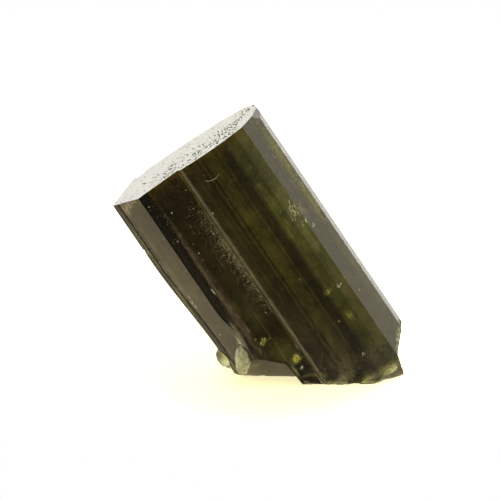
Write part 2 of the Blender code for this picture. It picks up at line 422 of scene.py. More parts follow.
def rough_slab(point, facing, relief, reach=CUT_REACH, step=CUT_STEP):
    """A thick block beyond a plane, whose near side has this relief."""
    count = round(reach / step)
    made = relief_block((reach / 2, reach / 2), (count, count), relief, reach)
    turned = Vector(facing).normalized().to_track_quat("Z", "X").to_matrix().to_4x4()
    bmesh.ops.transform(made, matrix=Matrix.Translation(Vector(point)) @ turned, verts=made.verts)
    return made


def flat(first, second):
    """No relief at all."""
    return 0.0


def shell_relief(seed):
    """Conchoidal relief: curved ripples around a point, over a gentle unevenness."""

    def relief(first, second):
        wave = noise.fractal(Vector((first * 0.8, second * 0.8, seed)), 1.0, 2.1, 4)
        ring = math.hypot(first - 2.0, second - 3.0) + 0.5 * wave
        return SHELL_DEPTH * (wave + 0.25 * math.sin(ring * 9.0))

    return relief


def plane_of(points, outward):
    first, second, third = (Vector(point) for point in points)
    facing = (second - first).cross(third - first).normalized()
    return first, facing if facing.dot(Vector(outward)) > 0 else -facing


def pebble(middle, radii, roughness, subdivisions=5, slant=0.0):
    """A ball with its own radii, slant and uneven surface, for a growth or for the shell of a chip."""
    made = bmesh.new()
    bmesh.ops.create_icosphere(made, subdivisions=subdivisions, radius=1.0)
    seed = Vector(middle) * 3.1
    for vertex in made.verts:
        way = vertex.co.normalized()
        swell = roughness * noise.fractal(way * 1.7 + seed, 1.0, 2.1, 3)
        fine = 0.2 * roughness * noise.fractal(way * 7.0 + seed, 1.0, 2.1, 3)
        vertex.co = Vector(way[axis] * radii[axis] for axis in range(3)) + way * (swell + fine)
    where = Matrix.Translation(middle) @ Matrix.Rotation(slant, 4, "Y")
    bmesh.ops.transform(made, matrix=where, verts=made.verts)
    return made


def front_depth(across):
    """The depth of the broad front face at this place across it."""
    corners = FRONT_LEFT_FACE + RIDGE + FRONT_RIGHT_FACE + RIGHT_BEVEL
    return float(np.interp(across, [corner[0] for corner in corners], [corner[1] for corner in corners]))


def pit(across, depth):
    """How far into a pit this place on the top face is, from 0 to 1. Most pits are behind the front edge."""
    from_front = depth - front_depth(across) - TOP_RIM
    band = smooth_step(from_front / 0.2) * (1.0 - 0.75 * smooth_step((from_front - 1.4) / 1.8))
    to_right = 0.25 + 0.75 * smooth_step((across + 4.5) / 3.5)
    patchy = 0.75 + 0.8 * noise.noise(Vector((across * 0.8, depth * 0.6, 23.0)))
    pitted = min(band * to_right * patchy * 1.3, 1.0)
    dots = noise.noise(Vector((across * 9.0, depth * 4.2, 17.0)))
    dots += 0.4 * noise.noise(Vector((across * 18.0, depth * 9.0, 3.0)))
    return smooth_step((dots - 0.62 + 0.42 * pitted) / 0.18)


def top_relief(across, depth):
    """The top face: nearly flat, with small sharp pits."""
    slow = 0.002 * noise.noise(Vector((across * 0.4, depth * 0.4, 1.0)))
    return slow - PIT_DEPTH * pit(across, depth)


def top_block():
    """The block above the top face. Its lower side has the face's relief."""
    counts = [round(2.0 * TOP_HALF[axis] / TOP_STEP[axis]) for axis in range(2)]
    return relief_block(TOP_HALF, counts, top_relief, 2.0 * PRISM_ABOVE)


def foot_block():
    """The block under the floor, with a rough upper side that touches the floor from above."""

    def relief(first, second):
        wave = noise.fractal(Vector((first * 1.3, second * 1.3, 41.0)), 0.8, 2.2, 4)
        return -FOOT_ROUGHNESS * max(0.0, wave)

    made = rough_slab((0.0, 0.0, 0.0), (0.0, 0.0, -1.0), relief, reach=24.0, step=0.16)
    own_frame = standing_matrix().inverted() @ Matrix.Scale(MM, 4)
    bmesh.ops.transform(made, matrix=own_frame, verts=made.verts)
    return made


def height_at_floor(across, depth):
    standing = standing_matrix()
    top = standing @ Vector((across, depth, 0.0))
    unit = standing.to_3x3() @ Vector((0.0, 0.0, 1.0))
    return -top.z / unit.z


def rim_chips():
    """The middle and radii of each small shell along the front rim of the foot, no two alike."""
    first, last = RIM_CHIP_RADII
    for index in range(RIM_CHIP_COUNT):
        wander = Vector(0.45 * noise.noise(Vector((index * 1.7, 4.0, seed))) for seed in RIM_CHIP_SEEDS)
        share = (index + wander.x) / (RIM_CHIP_COUNT - 1)
        across, depth = RIM_CHIP_START.lerp(RIM_CHIP_END, share)
        height = height_at_floor(across, depth) - 0.12 + 0.5 * wander.y
        radius = (first + (last - first) * share) * (1.0 + wander.z)
        yield Vector((across, depth, height)), (1.5 * radius, radius, radius)


# ---------------------------------------------------------------- building


def kind_marker(kind):
    return bpy.data.materials.get(kind) or bpy.data.materials.new(kind)


def new_object(made, name):
    mesh = bpy.data.meshes.new(name)
    made.to_mesh(mesh)
    made.free()
    obj = bpy.data.objects.new(name, mesh)
    bpy.context.scene.collection.objects.link(obj)
    return obj


def tool_object(made, kind):
    """A temporary object of this shape, marked with the kind of surface that it leaves."""
    obj = new_object(made, kind)
    obj.data.materials.append(kind_marker(kind))
    return obj


def combine(obj, tool, operation="DIFFERENCE"):
    """Cuts, joins or meets the object with the tool and removes the tool. Cut faces keep its mark."""
    modifier = obj.modifiers.new(operation, "BOOLEAN")
    modifier.operation = operation
    modifier.solver = "MANIFOLD"
    modifier.material_mode = "TRANSFER"
    modifier.object = tool
    bpy.context.view_layer.update()
    graph = bpy.context.evaluated_depsgraph_get()
    mesh = bpy.data.meshes.new_from_object(obj.evaluated_get(graph))
    obj.modifiers.clear()
    obj.data = mesh
    bpy.data.objects.remove(tool, do_unlink=True)


def joint_block(planes, kind, reliefs, step=CUT_STEP):
    """What lies beyond every one of these planes, each with its own relief."""
    slabs = [rough_slab(*plane, relief, step=step) for plane, relief in zip(planes, reliefs)]
    first, *others = [tool_object(slab, kind) for slab in slabs]
    for other in others:
        combine(first, other, "INTERSECT")
    return first


def grown_crystal():
    """The crystal in its own frame, one closed mesh whose faces are marked with their kind."""
    crystal = tool_object(prism(), "grown")
    combine(crystal, tool_object(top_block(), "top_face"))
    for points, outward, ends in PYRAMID_FACES:
        planes = (plane_of(points, outward), ends)
        combine(crystal, joint_block(planes, "pyramid", (flat, flat), CUT_REACH / 2))
    for index, planes in enumerate(FOOT_BREAKS):
        reliefs = [shell_relief(7.0 * index + side) for side in range(len(planes))]
        combine(crystal, joint_block(planes, "broken", reliefs))
    for chip in CHIPS:
        combine(crystal, tool_object(pebble(*chip), "broken"))
    for middle, radii in rim_chips():
        combine(crystal, tool_object(pebble(middle, radii, RIM_CHIP_ROUGHNESS, 4), "broken"))
    for lump in LUMPS:
        combine(crystal, tool_object(pebble(*lump), "frosted"), "UNION")
    combine(crystal, tool_object(foot_block(), "broken"))
    return crystal


def store_kinds(mesh):
    """Turns the marks of the kinds of surface into one mask per kind on the face corners."""
    marked = {slot.name: index for index, slot in enumerate(mesh.materials) if slot}
    of_face = np.zeros(len(mesh.polygons), np.int32)
    mesh.polygons.foreach_get("material_index", of_face)
    sides = np.zeros(len(mesh.polygons), np.int32)
    mesh.polygons.foreach_get("loop_total", sides)
    of_corner = np.repeat(of_face, sides)
    for kind in KINDS[1:]:
        mask = mesh.attributes.new(kind, "FLOAT", "CORNER")
        mask.data.foreach_set("value", (of_corner == marked.get(kind, -1)).astype(np.float32))
    mesh.polygons.foreach_set("material_index", np.zeros(len(mesh.polygons), np.int32))
    mesh.materials.clear()
    # Marks the left-facing faces of the left bevel, where painted shade is laid.
    bevel = mesh.attributes.new("left_bevel_painted_shade", "FLOAT", "FACE")
    for polygon, value in zip(mesh.polygons, bevel.data):
        faces_left = polygon.normal.dot(LEFT_BEVEL_FACING) > SAME_FACING
        value.value = float(faces_left and polygon.center.y < LEFT_BEVEL_ENDS)
    pits = mesh.attributes.new("pits", "FLOAT", "POINT")
    values = [pit(vertex.co.x, vertex.co.y) if vertex.co.z > -NEAR_TOP else 0.0 for vertex in mesh.vertices]
    pits.data.foreach_set("value", values)


def finished_piece(obj, name, material):
    """Names the piece, gives it its finish and lets it ride on the body."""
    obj.name = name
    obj.data.name = name
    obj.data.materials.clear()
    obj.data.materials.append(material)
    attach(obj, BODY)


def surface_finder(crystal):
    """A function that gives a place on the broad front and its facing, in the crystal's own frame."""
    mesh = crystal.data.copy()
    mesh.transform(standing_matrix().inverted())
    made = bmesh.new()
    made.from_mesh(mesh)
    bpy.data.meshes.remove(mesh)
    tree = BVHTree.FromBMesh(made)
    made.free()

    def find(across, height):
        place, facing, _, _ = tree.ray_cast(Vector((across, -TOP_HALF.x, height)), Vector((0.0, 1.0, 0.0)))
        return place, facing

    return find


def add_grain(made, place, facing, size, random):
    """A squat, uneven grain of eight faces, lying on the surface."""
    lying = facing.to_track_quat("Z", "X").to_matrix()
    spin = random.uniform(0.0, math.tau)
    corners = []
    for index in range(4):
        angle = spin + index * math.pi / 2 + random.uniform(-0.4, 0.4)
        reach = size * random.uniform(0.3, 0.75)
        offset = Vector((math.cos(angle) * reach, math.sin(angle) * reach, 0.0))
        corners.append(made.verts.new(place + lying @ offset))
    above = made.verts.new(place + facing * size * random.uniform(0.2, 0.5))
    below = made.verts.new(place - facing * size * 0.3)
    for first, second in zip(corners, corners[1:] + corners[:1]):
        made.faces.new((first, second, above))
        made.faces.new((second, first, below))


def add_sliver(made, place, facing, way, length, width, bend):
    """A thin curved sliver of four cross-sections, lying in the surface like the edge of a healed crack."""
    aside = facing.cross(way).normalized()
    rings = []
    for index in range(SLIVER_SECTIONS):
        share = index / (SLIVER_SECTIONS - 1)
        middle = place + way * length * (share - 0.5) + aside * bend * (1.0 - (2.0 * share - 1.0) ** 2)
        half = width * (0.15 + 0.85 * math.sin(math.pi * (0.1 + 0.8 * share)))
        sides = (aside * half, facing * half * 0.6, -aside * half, -facing * half * 0.6)
        rings.append([made.verts.new(middle + side) for side in sides])
    join_rings(made, rings)


def dust_specks(find, look):
    """Specks of dust: a few all over, and most in the lee of the ridge."""
    made = bmesh.new()
    random = np.random.RandomState(SPECK_SEED)
    for index in range(look.speck_count):
        if index % 10:
            height = random.triangular(*SPECK_HEIGHTS)
            band = np.interp(height, (SPECK_HEIGHTS[0], SPECK_HEIGHTS[2]), SPECK_BAND)
            across = RIDGE[0][0] - 0.10 - random.exponential(band)
        else:
            across = random.uniform(FRONT_LEFT_FACE[0][0], RIGHT_BEVEL[2][0])
            height = random.uniform(SPECK_HEIGHTS[2] - 2.0, -0.2)
        place, facing = find(across, height)
        if place:
            size = look.speck_size / MM * random.lognormal(0.0, 0.35)
            add_grain(made, place, facing, size, random)
    for across, height in BIG_SPECKS:
        place, facing = find(across, height)
        for _ in range(3):
            aside = Vector((random.normal(0.0, 1.0), 0.0, random.normal(0.0, 1.0))) * look.speck_size / MM
            size = 3.0 * look.speck_size / MM * random.uniform(0.6, 1.3)
            add_grain(made, place + aside, facing, size, random)
    return made


def add_flake(made, find, flake):
    """A thin, soft-edged flake that follows the surface. Its cover and its hue are kept on its corners."""
    across, height, half_width, half_height, covers, hue = flake
    cover = made.verts.layers.float["cover"]
    yellow = made.verts.layers.float["yellow_green"]
    centre = find(across, height)[0]

    def spot(ring, side, lift):
        share = ring / FLAKE_RINGS
        angle = side * math.tau / FLAKE_SIDES
        right, up = math.cos(angle), math.sin(angle)
        wobble = 1.0 + FLAKE_WOBBLE * noise.noise(Vector((right + across, up + height, 2.0)))
        for pulled in FLAKE_PULLS:
            reach = share * wobble * pulled
            place, facing = find(across + half_width * reach * right, height + half_height * reach * up)
            if place and (place - centre).length < 1.5 * max(half_width, half_height):
                break
        corner = made.verts.new(place + facing * lift * (1.0 - share * share))
        corner[cover] = covers * (1.0 - share * share) ** 2
        corner[yellow] = hue
        return corner

    rim = [spot(FLAKE_RINGS, side, 0.0) for side in range(FLAKE_SIDES)]
    for lift in (FLAKE_LIFT, -FLAKE_SINK):
        outer = rim
        for ring in range(FLAKE_RINGS - 1, 0, -1):
            inner = [spot(ring, side, lift) for side in range(FLAKE_SIDES)]
            for side in range(FLAKE_SIDES):
                after = (side + 1) % FLAKE_SIDES
                made.faces.new((outer[side], outer[after], inner[after], inner[side]))
            outer = inner
        peak = spot(0, 0, lift)
        for side in range(FLAKE_SIDES):
            made.faces.new((outer[side], outer[(side + 1) % FLAKE_SIDES], peak))


def soft_flakes(find):
    """Every soft flake, each a closed, lens-shaped skin."""
    made = bmesh.new()
    made.verts.layers.float.new("cover")
    made.verts.layers.float.new("yellow_green")
    for flake in FLAKES:
        add_flake(made, find, flake)
    bmesh.ops.recalc_face_normals(made, faces=made.faces)
    return made


def dust_fibre(find, look):
    """A thin curved fibre lying on the front face."""
    made = bmesh.new()
    radius = look.fibre_radius / MM
    places = [Vector(point) for point in FIBRE]
    span = places[-1] - places[0]
    way = Vector((span.x, 0.0, span.y)).normalized()
    last = (len(places) - 1) * FIBRE_STEPS
    rings = []
    for index in range(last + 1):
        share = index / FIBRE_STEPS
        first = min(int(share), len(places) - 2)
        place, facing = find(*places[first].lerp(places[first + 1], share - first))
        lift = radius * (1.2 + 1.5 * math.sin(math.pi * index / last))
        thin = radius * (0.45 + 0.55 * math.sin(math.pi * (0.08 + 0.84 * index / last)))
        aside = facing.cross(way).normalized()
        ring = []
        for corner in range(FIBRE_SIDES):
            angle = corner * math.tau / FIBRE_SIDES
            offset = facing * math.cos(angle) + aside * math.sin(angle)
            ring.append(made.verts.new(place + facing * lift + offset * thin))
        rings.append(ring)
    join_rings(made, rings)
    bmesh.ops.recalc_face_normals(made, faces=made.faces)
    return made


def healed_cracks(find):
    """Clusters of pale slivers where small cracks reach the front face."""
    made = bmesh.new()
    random = np.random.RandomState(CRACK_SEED)
    yellow = made.verts.layers.float.new("yellow_green")
    for across, height, spread_across, spread_height, count, slant, hue, bold in CRACKS:
        before = len(made.verts)
        for _ in range(count):
            aside = random.normal(0.0, spread_across)
            above = random.normal(0.0, spread_height)
            place, facing = find(across + aside, height + above)
            if not place:
                continue
            angle = slant + random.normal(0.0, 0.3)
            way = Vector((math.sin(angle), 0.0, math.cos(angle)))
            way = (way - facing * way.dot(facing)).normalized()
            length = random.uniform(*SLIVER_LENGTHS)
            width = bold * random.uniform(*SLIVER_WIDTHS)
            bend = random.uniform(-SLIVER_BEND, SLIVER_BEND)
            add_sliver(made, place, facing, way, length, width, bend)
        made.verts.ensure_lookup_table()
        for vertex in made.verts[before:]:
            vertex[yellow] = hue
    bmesh.ops.recalc_face_normals(made, faces=made.faces)
    return made


# ---------------------------------------------------------------- finishes


def feed(tree, node, given):
    """Gives inputs of a node, by name or number: a socket is linked, and a number or colour is set."""
    for key, value in given.items():
        socket = node.inputs[key]
        if isinstance(value, bpy.types.NodeSocket):
            tree.links.new(value, socket)
        elif socket.type == "RGBA":
            socket.default_value = (*value[:3], 1.0)
        else:
            socket.default_value = value


def add_node(tree, kind, label, given=None, **values):
    """A labelled node with these settings, whose given inputs are sockets to link or values."""
    node = tree.nodes.new(kind)
    node.label = label
    for name, value in values.items():
        setattr(node, name, value)
    feed(tree, node, given or {})
    return node


def math_node(tree, operation, label, *inputs):
    """A Math node. An input is a number or a socket to link."""
    return add_node(tree, "ShaderNodeMath", label, dict(enumerate(inputs)), operation=operation).outputs[0]


def ramp_node(tree, label, source, low, high):
    """0 below low, 1 above high, smooth between."""
    given = {"Value": source, "From Min": low, "From Max": high}
    node = add_node(tree, "ShaderNodeMapRange", label, given, interpolation_type="SMOOTHSTEP")
    return node.outputs["Result"]


def mix_colours(tree, label, share, first, second, blend="MIX"):
    given = {0: share, 6: first, 7: second}
    return add_node(tree, "ShaderNodeMix", label, given, data_type="RGBA", blend_type=blend).outputs[2]


def node_group(name, inputs, output, build):
    """The node group of this name, built at its first use. Each input has a name and a kind of socket."""
    if name in bpy.data.node_groups:
        return bpy.data.node_groups[name]
    group = bpy.data.node_groups.new(name, "ShaderNodeTree")
    for socket, kind in inputs.items():
        group.interface.new_socket(socket, in_out="INPUT", socket_type="NodeSocket" + kind)
    group.interface.new_socket(output, in_out="OUTPUT", socket_type="NodeSocketFloat")
    result = build(group, add_node(group, "NodeGroupInput", "Given").outputs)
    add_node(group, "NodeGroupOutput", "Result", {output: result})
    return group


def build_noise(group, given):
    """Noise with its own frequency along each axis, spread between two values."""
    stretch = {0: given["Place"], 1: given["Frequency"]}
    place = add_node(group, "ShaderNodeVectorMath", "Stretched place", stretch, operation="MULTIPLY")
    grain = {"Vector": place.outputs[0], "Scale": 1.0, "Detail": given["Detail"], "Roughness": 0.6}
    pattern = add_node(group, "ShaderNodeTexNoise", "Noise", grain).outputs[0]
    limits = {"From Min": 0.3, "From Max": 0.7, "To Min": given["Low"], "To Max": given["High"]}
    spread = add_node(group, "ShaderNodeMapRange", "Spread", {"Value": pattern, **limits})
    return spread.outputs["Result"]


def noise_node(tree, label, place, *values):
    """Noise. The values are its frequency along each axis, its detail, and its lowest and highest value."""
    inputs = {"Place": "Vector", "Frequency": "Vector", "Detail": "Float", "Low": "Float", "High": "Float"}
    group = node_group("stretched_noise", inputs, "Value", build_noise)
    given = dict(zip(inputs, (place, *values)))
    return add_node(tree, "ShaderNodeGroup", label, given, node_tree=group).outputs["Value"]


def zone_node(tree, across, tones):
    """The tone of each growth zone, by its place across the broad face."""
    given = {"Value": across, "From Min": -ZONE_REACH, "From Max": ZONE_REACH}
    position = add_node(tree, "ShaderNodeMapRange", "Place across the face", given)
    ramp = add_node(tree, "ShaderNodeValToRGB", "Growth zones", {0: position.outputs["Result"]})
    elements = ramp.color_ramp.elements
    stops = [(place, tone) for tone, *places in GROWTH_ZONES for place in places]
    while len(elements) < len(stops):
        elements.new(1.0)
    for element, (place, tone) in zip(elements, stops):
        element.position = 0.5 + 0.5 * place / ZONE_REACH
        element.color = (*getattr(tones, tone), 1.0)
    return ramp.outputs["Color"]


def build_stripe(group, given):
    """1 inside a stripe along the axis, whose width changes with the height, and 0 outside it."""
    heights = {"Value": given["Height"], "From Min": given["Starts"], "From Max": given["Widest"]}
    widths = {"To Min": given["Half Width Above"], "To Max": given["Half Width Below"]}
    width = add_node(group, "ShaderNodeMapRange", "Half width here", heights | widths).outputs["Result"]
    offset = math_node(group, "SUBTRACT", "From the middle", given["Across"], given["Middle"])
    offset = math_node(group, "ABSOLUTE", "Distance from the middle", offset)
    edge = math_node(group, "MULTIPLY", "Where it fades", width, 0.6)
    return ramp_node(group, "Inside", offset, width, edge)


def stripe_node(tree, split, *values):
    """A stripe. The values are its middle, its two half widths and the heights of both."""
    names = ("Across", "Height", "Middle", "Half Width Above", "Half Width Below", "Starts", "Widest")
    group = node_group("growth_stripe", dict.fromkeys(names, "Float"), "Mask", build_stripe)
    given = dict(zip(names, (split["X"], split["Z"], *values)))
    return add_node(tree, "ShaderNodeGroup", "Growth stripe", given, node_tree=group).outputs["Mask"]


def bump_node(tree, height, depth):
    return add_node(tree, "ShaderNodeBump", "Fine relief", {"Height": height, "Distance": depth}).outputs[0]


def new_material(name):
    """A material, its node tree and its shader."""
    material = bpy.data.materials.new(name)
    material.use_nodes = True
    tree = material.node_tree
    return material, tree, tree.nodes["Principled BSDF"]


def speckle(tree, label, per_mm, detail, low, high):
    """Noise with this many spots per millimetre of the piece."""
    often = per_mm / MM
    place = add_node(tree, "ShaderNodeTexCoord", "Place").outputs["Object"]
    return noise_node(tree, label, place, (often, often, often), detail, low, high)


def crystal_material(axes, finish):
    """Clear stone, coloured by absorption and by the tone of each growth zone."""
    material, tree, shader = new_material("vesuvianite")
    place = add_node(tree, "ShaderNodeTexCoord", "Own frame, in millimetres", object=axes).outputs["Object"]
    split = add_node(tree, "ShaderNodeSeparateXYZ", "Across, depth and height", {0: place}).outputs
    height = split["Z"]
    masks = {}
    for kind in (*KINDS[1:], "left_bevel_painted_shade", "pits"):
        masks[kind] = add_node(tree, "ShaderNodeAttribute", kind, attribute_name=kind).outputs["Fac"]
    pits = math_node(tree, "MULTIPLY", "Pits in the top face", masks["pits"], masks["top_face"])
    sides = math_node(tree, "SUBTRACT", "All but the top face", 1.0, masks["top_face"])

    tone = zone_node(tree, split["X"], finish)
    for *shape, name in STRIPES:
        stripe = stripe_node(tree, split, *shape)
        tone = mix_colours(tree, "With stripe", stripe, tone, getattr(finish, name))
    # Painted shade: the faces of the left bevel, picked by their facing, get the darker bevel tone.
    tone = mix_colours(tree, "With bevel", masks["left_bevel_painted_shade"], tone, finish.bevel_tone_and_painted_shade)
    upper = ramp_node(tree, "Below the upper part", height, -3.0, -6.5)
    lower = ramp_node(tree, "In the lower part", height, -7.8, -11.0)
    uneven = math_node(tree, "SUBTRACT", "In the middle part", upper, lower)
    uneven = math_node(tree, "MULTIPLY_ADD", "Clearer middle", uneven, finish.clear_middle, 1.0)
    for label, *values in STONE_NOISE:
        uneven = math_node(tree, "MULTIPLY", "Uneven", uneven, noise_node(tree, label, place, *values))
    moss = noise_node(tree, "Moss and rust", place, (1.6, 0.6, 1.3), 4.0, 0.0, 1.0)
    moss = mix_colours(tree, "Mottled tint", moss, finish.moss_tint, finish.rust_tint)
    tone = mix_colours(tree, "With mottled tint", 1.0, tone, moss, "MULTIPLY")
    near_top = ramp_node(tree, "Just under the top", height, -1.2, 0.0)
    near_top = math_node(tree, "MULTIPLY", "Rust under the top", near_top, 0.95)
    tone = mix_colours(tree, "Zones with rust", near_top, tone, finish.rust)
    colour = mix_colours(tree, "Uneven tone", 1.0, tone, uneven, "MULTIPLY")
    to_right = ramp_node(tree, "Towards the right end", split["X"], -1.5, 2.5)
    fresh = mix_colours(tree, "Fresh breaks", to_right, finish.left_break, finish.right_break)
    pyramid = mix_colours(tree, "Pyramid tones", to_right, finish.pyramid_tone, finish.outer_tone)
    patches = noise_node(tree, "Patches", place, (0.8, 0.9, 0.8), 4.0, -0.4, 1.0)
    patches = math_node(tree, "MULTIPLY", "Patches towards the right", patches, to_right)
    top = mix_colours(tree, "Stained top", patches, finish.top_tone, finish.stain)
    for label, mask, laid in (
        ("Pyramid faces", masks["pyramid"], pyramid),
        ("Broken faces", masks["broken"], fresh),
        ("Frosted faces", masks["frosted"], finish.frost),
        ("Top face", masks["top_face"], top),
        # Painted shade: the pits in the top face are coloured nearly black.
        ("Dark pits", pits, finish.pit_painted_shade),
    ):
        colour = mix_colours(tree, label, mask, colour, laid)

    rough = noise_node(tree, "Uneven polish", place, (1.6, 1.6, 0.8), 4.0, 0.7, 1.4)
    rough = math_node(tree, "MULTIPLY", "Polish", rough, finish.polish)
    low = ramp_node(tree, "Towards the foot", height, -9.0, -19.0)
    for label, mask, added in (
        ("Duller foot", low, finish.dull_foot),
        ("Rougher breaks", masks["broken"], finish.break_roughness),
        ("Frost", masks["frosted"], finish.frost_roughness),
        ("Rough pits", pits, finish.pit_roughness),
    ):
        rough = math_node(tree, "MULTIPLY_ADD", label, mask, added, rough)

    scratches = noise_node(tree, "Fine relief along the axis", place, (14.0, 3.0, 0.08), 2.0, 0.0, 0.12)
    scratches = math_node(tree, "MULTIPLY", "Relief of the sides", scratches, sides)
    frosting = noise_node(tree, "Frosted relief", place, *FROST_GRAIN)
    coarse = math_node(tree, "MAXIMUM", "Uneven kinds of face", masks["broken"], masks["frosted"])
    frosting = math_node(tree, "MULTIPLY", "Relief of uneven faces", frosting, coarse)
    relief = math_node(tree, "ADD", "Relief", scratches, frosting)

    depth = {"Color": finish.let_through, "Density": finish.density}
    depth = add_node(tree, "ShaderNodeVolumeAbsorption", "Depth of colour", depth)
    feed(tree, tree.nodes["Material Output"], {"Volume": depth.outputs[0]})
    given = {
        "IOR": finish.refraction,
        "Transmission Weight": 1.0,
        "Base Color": colour,
        "Roughness": rough,
        "Normal": bump_node(tree, relief, finish.relief),
    }
    feed(tree, shader, given)
    return material


def frosted_material(axes, finish):
    """Pale, cloudy stone: it lets soft light through and scatters the rest."""
    material, tree, shader = new_material("frosted_vesuvianite")
    place = add_node(tree, "ShaderNodeTexCoord", "Own frame, in millimetres", object=axes).outputs["Object"]
    clouds = noise_node(tree, "Clouds in the frost", place, (2.6, 2.6, 2.0), 5.0, 0.45, 1.35)
    rough = noise_node(tree, "Uneven frost", place, (5.0, 5.0, 5.0), 3.0, 0.7, 1.3)
    grains = noise_node(tree, "Frost grains", place, *FROST_GRAIN)
    given = {
        "IOR": finish.refraction,
        "Transmission Weight": finish.frost_clearness,
        "Base Color": mix_colours(tree, "Cloudy frost", 1.0, finish.frost, clouds, "MULTIPLY"),
        "Roughness": math_node(tree, "MULTIPLY", "Frost roughness", rough, finish.frost_roughness),
        "Normal": bump_node(tree, grains, 2.0 * finish.relief),
    }
    feed(tree, shader, given)
    return material


def plain_material(name, colour, dark_and_light):
    """A matt finish whose tone wanders from grain to grain."""
    material, tree, shader = new_material(name)
    grains = speckle(tree, "Grain tone", 4.0, 2.0, *dark_and_light)
    tinted = mix_colours(tree, "Tone", 1.0, colour, grains, "MULTIPLY")
    feed(tree, shader, {"Roughness": 0.7, "Base Color": tinted})
    return material


def hue_and_colour(tree, look):
    """The hue kept on a piece's corners, and its colour from pale to yellow-green."""
    hue = add_node(tree, "ShaderNodeAttribute", "Hue", attribute_name="yellow_green").outputs["Fac"]
    return hue, mix_colours(tree, "Pale to yellow-green", hue, look.feather, look.glow)


def crack_material(look):
    """Pale to yellow-green glints."""
    material, tree, shader = new_material("healed_cracks")
    glints = speckle(tree, "Glints", 5.0, 2.0, 0.4, 1.3)
    colour = hue_and_colour(tree, look)[1]
    colour = mix_colours(tree, "With glints", 1.0, colour, glints, "MULTIPLY")
    feed(tree, shader, {"Roughness": 0.5, "Base Color": colour})
    return material


def flake_material(look):
    """Pale to yellow-green stone dust inside the face, and violet-brown flakes that are partly a painted
    reflection of the floor. It thins out towards the edge of each flake.
    """
    material, tree, shader = new_material("soft_flakes")
    cover = add_node(tree, "ShaderNodeAttribute", "Cover", attribute_name="cover").outputs["Fac"]
    cover = math_node(tree, "MULTIPLY", "Mottled", cover, speckle(tree, "Mottled cover", 6.0, 4.0, 0.1, 1.9))
    hue, colour = hue_and_colour(tree, look)
    # The violet-brown share is partly a painted reflection of the floor.
    violet = math_node(tree, "MULTIPLY", "How violet", hue, -1.0)
    colour = mix_colours(tree, "With violet-brown", violet, colour, look.violet_haze_and_reflection)
    feed(tree, shader, {"Roughness": 0.7, "Specular IOR Level": 0.2, "Base Color": colour, "Alpha": cover})
    return material


def floor_material(look):
    """Pale floor, white further off, with a painted pool of warm light beside the crystal, where light let
    through the stone falls. Its own light, though it is no lamp, is painted fill light that softens the
    shadow.
    """
    material, tree, shader = new_material("pale_floor")
    place = add_node(tree, "ShaderNodeTexCoord", "Place on the floor").outputs["Object"]
    distance = add_node(tree, "ShaderNodeVectorMath", "Distance", {0: place}, operation="LENGTH")
    away = ramp_node(tree, "Away from the crystal", distance.outputs["Value"], 0.006, look.floor_front)
    # The warm colour near the crystal is a painted pool of light, and it also colours the floor's painted
    # glow.
    colour = mix_colours(tree, "Floor colour", away, look.floor_painted_glow, look.floor_far)
    own_light = {"Emission Color": colour, "Emission Strength": look.floor_fill}
    feed(tree, shader, {"Base Color": colour, "Roughness": 1.0, "Specular IOR Level": 0.0, **own_light})
    return material


# ---------------------------------------------------------------- settings


def a_colour(name, description, default):
    return bpy.props.FloatVectorProperty(
        name=name, description=description, default=default, subtype="COLOR", min=0.0, soft_max=1.0
    )


def a_share(name, description, default):
    return bpy.props.FloatProperty(
        name=name, description=description, default=default, min=0.0, soft_max=1.0
    )


def a_length(name, description, default):
    return bpy.props.FloatProperty(
        name=name, description=description, default=default, unit="LENGTH", precision=6
    )


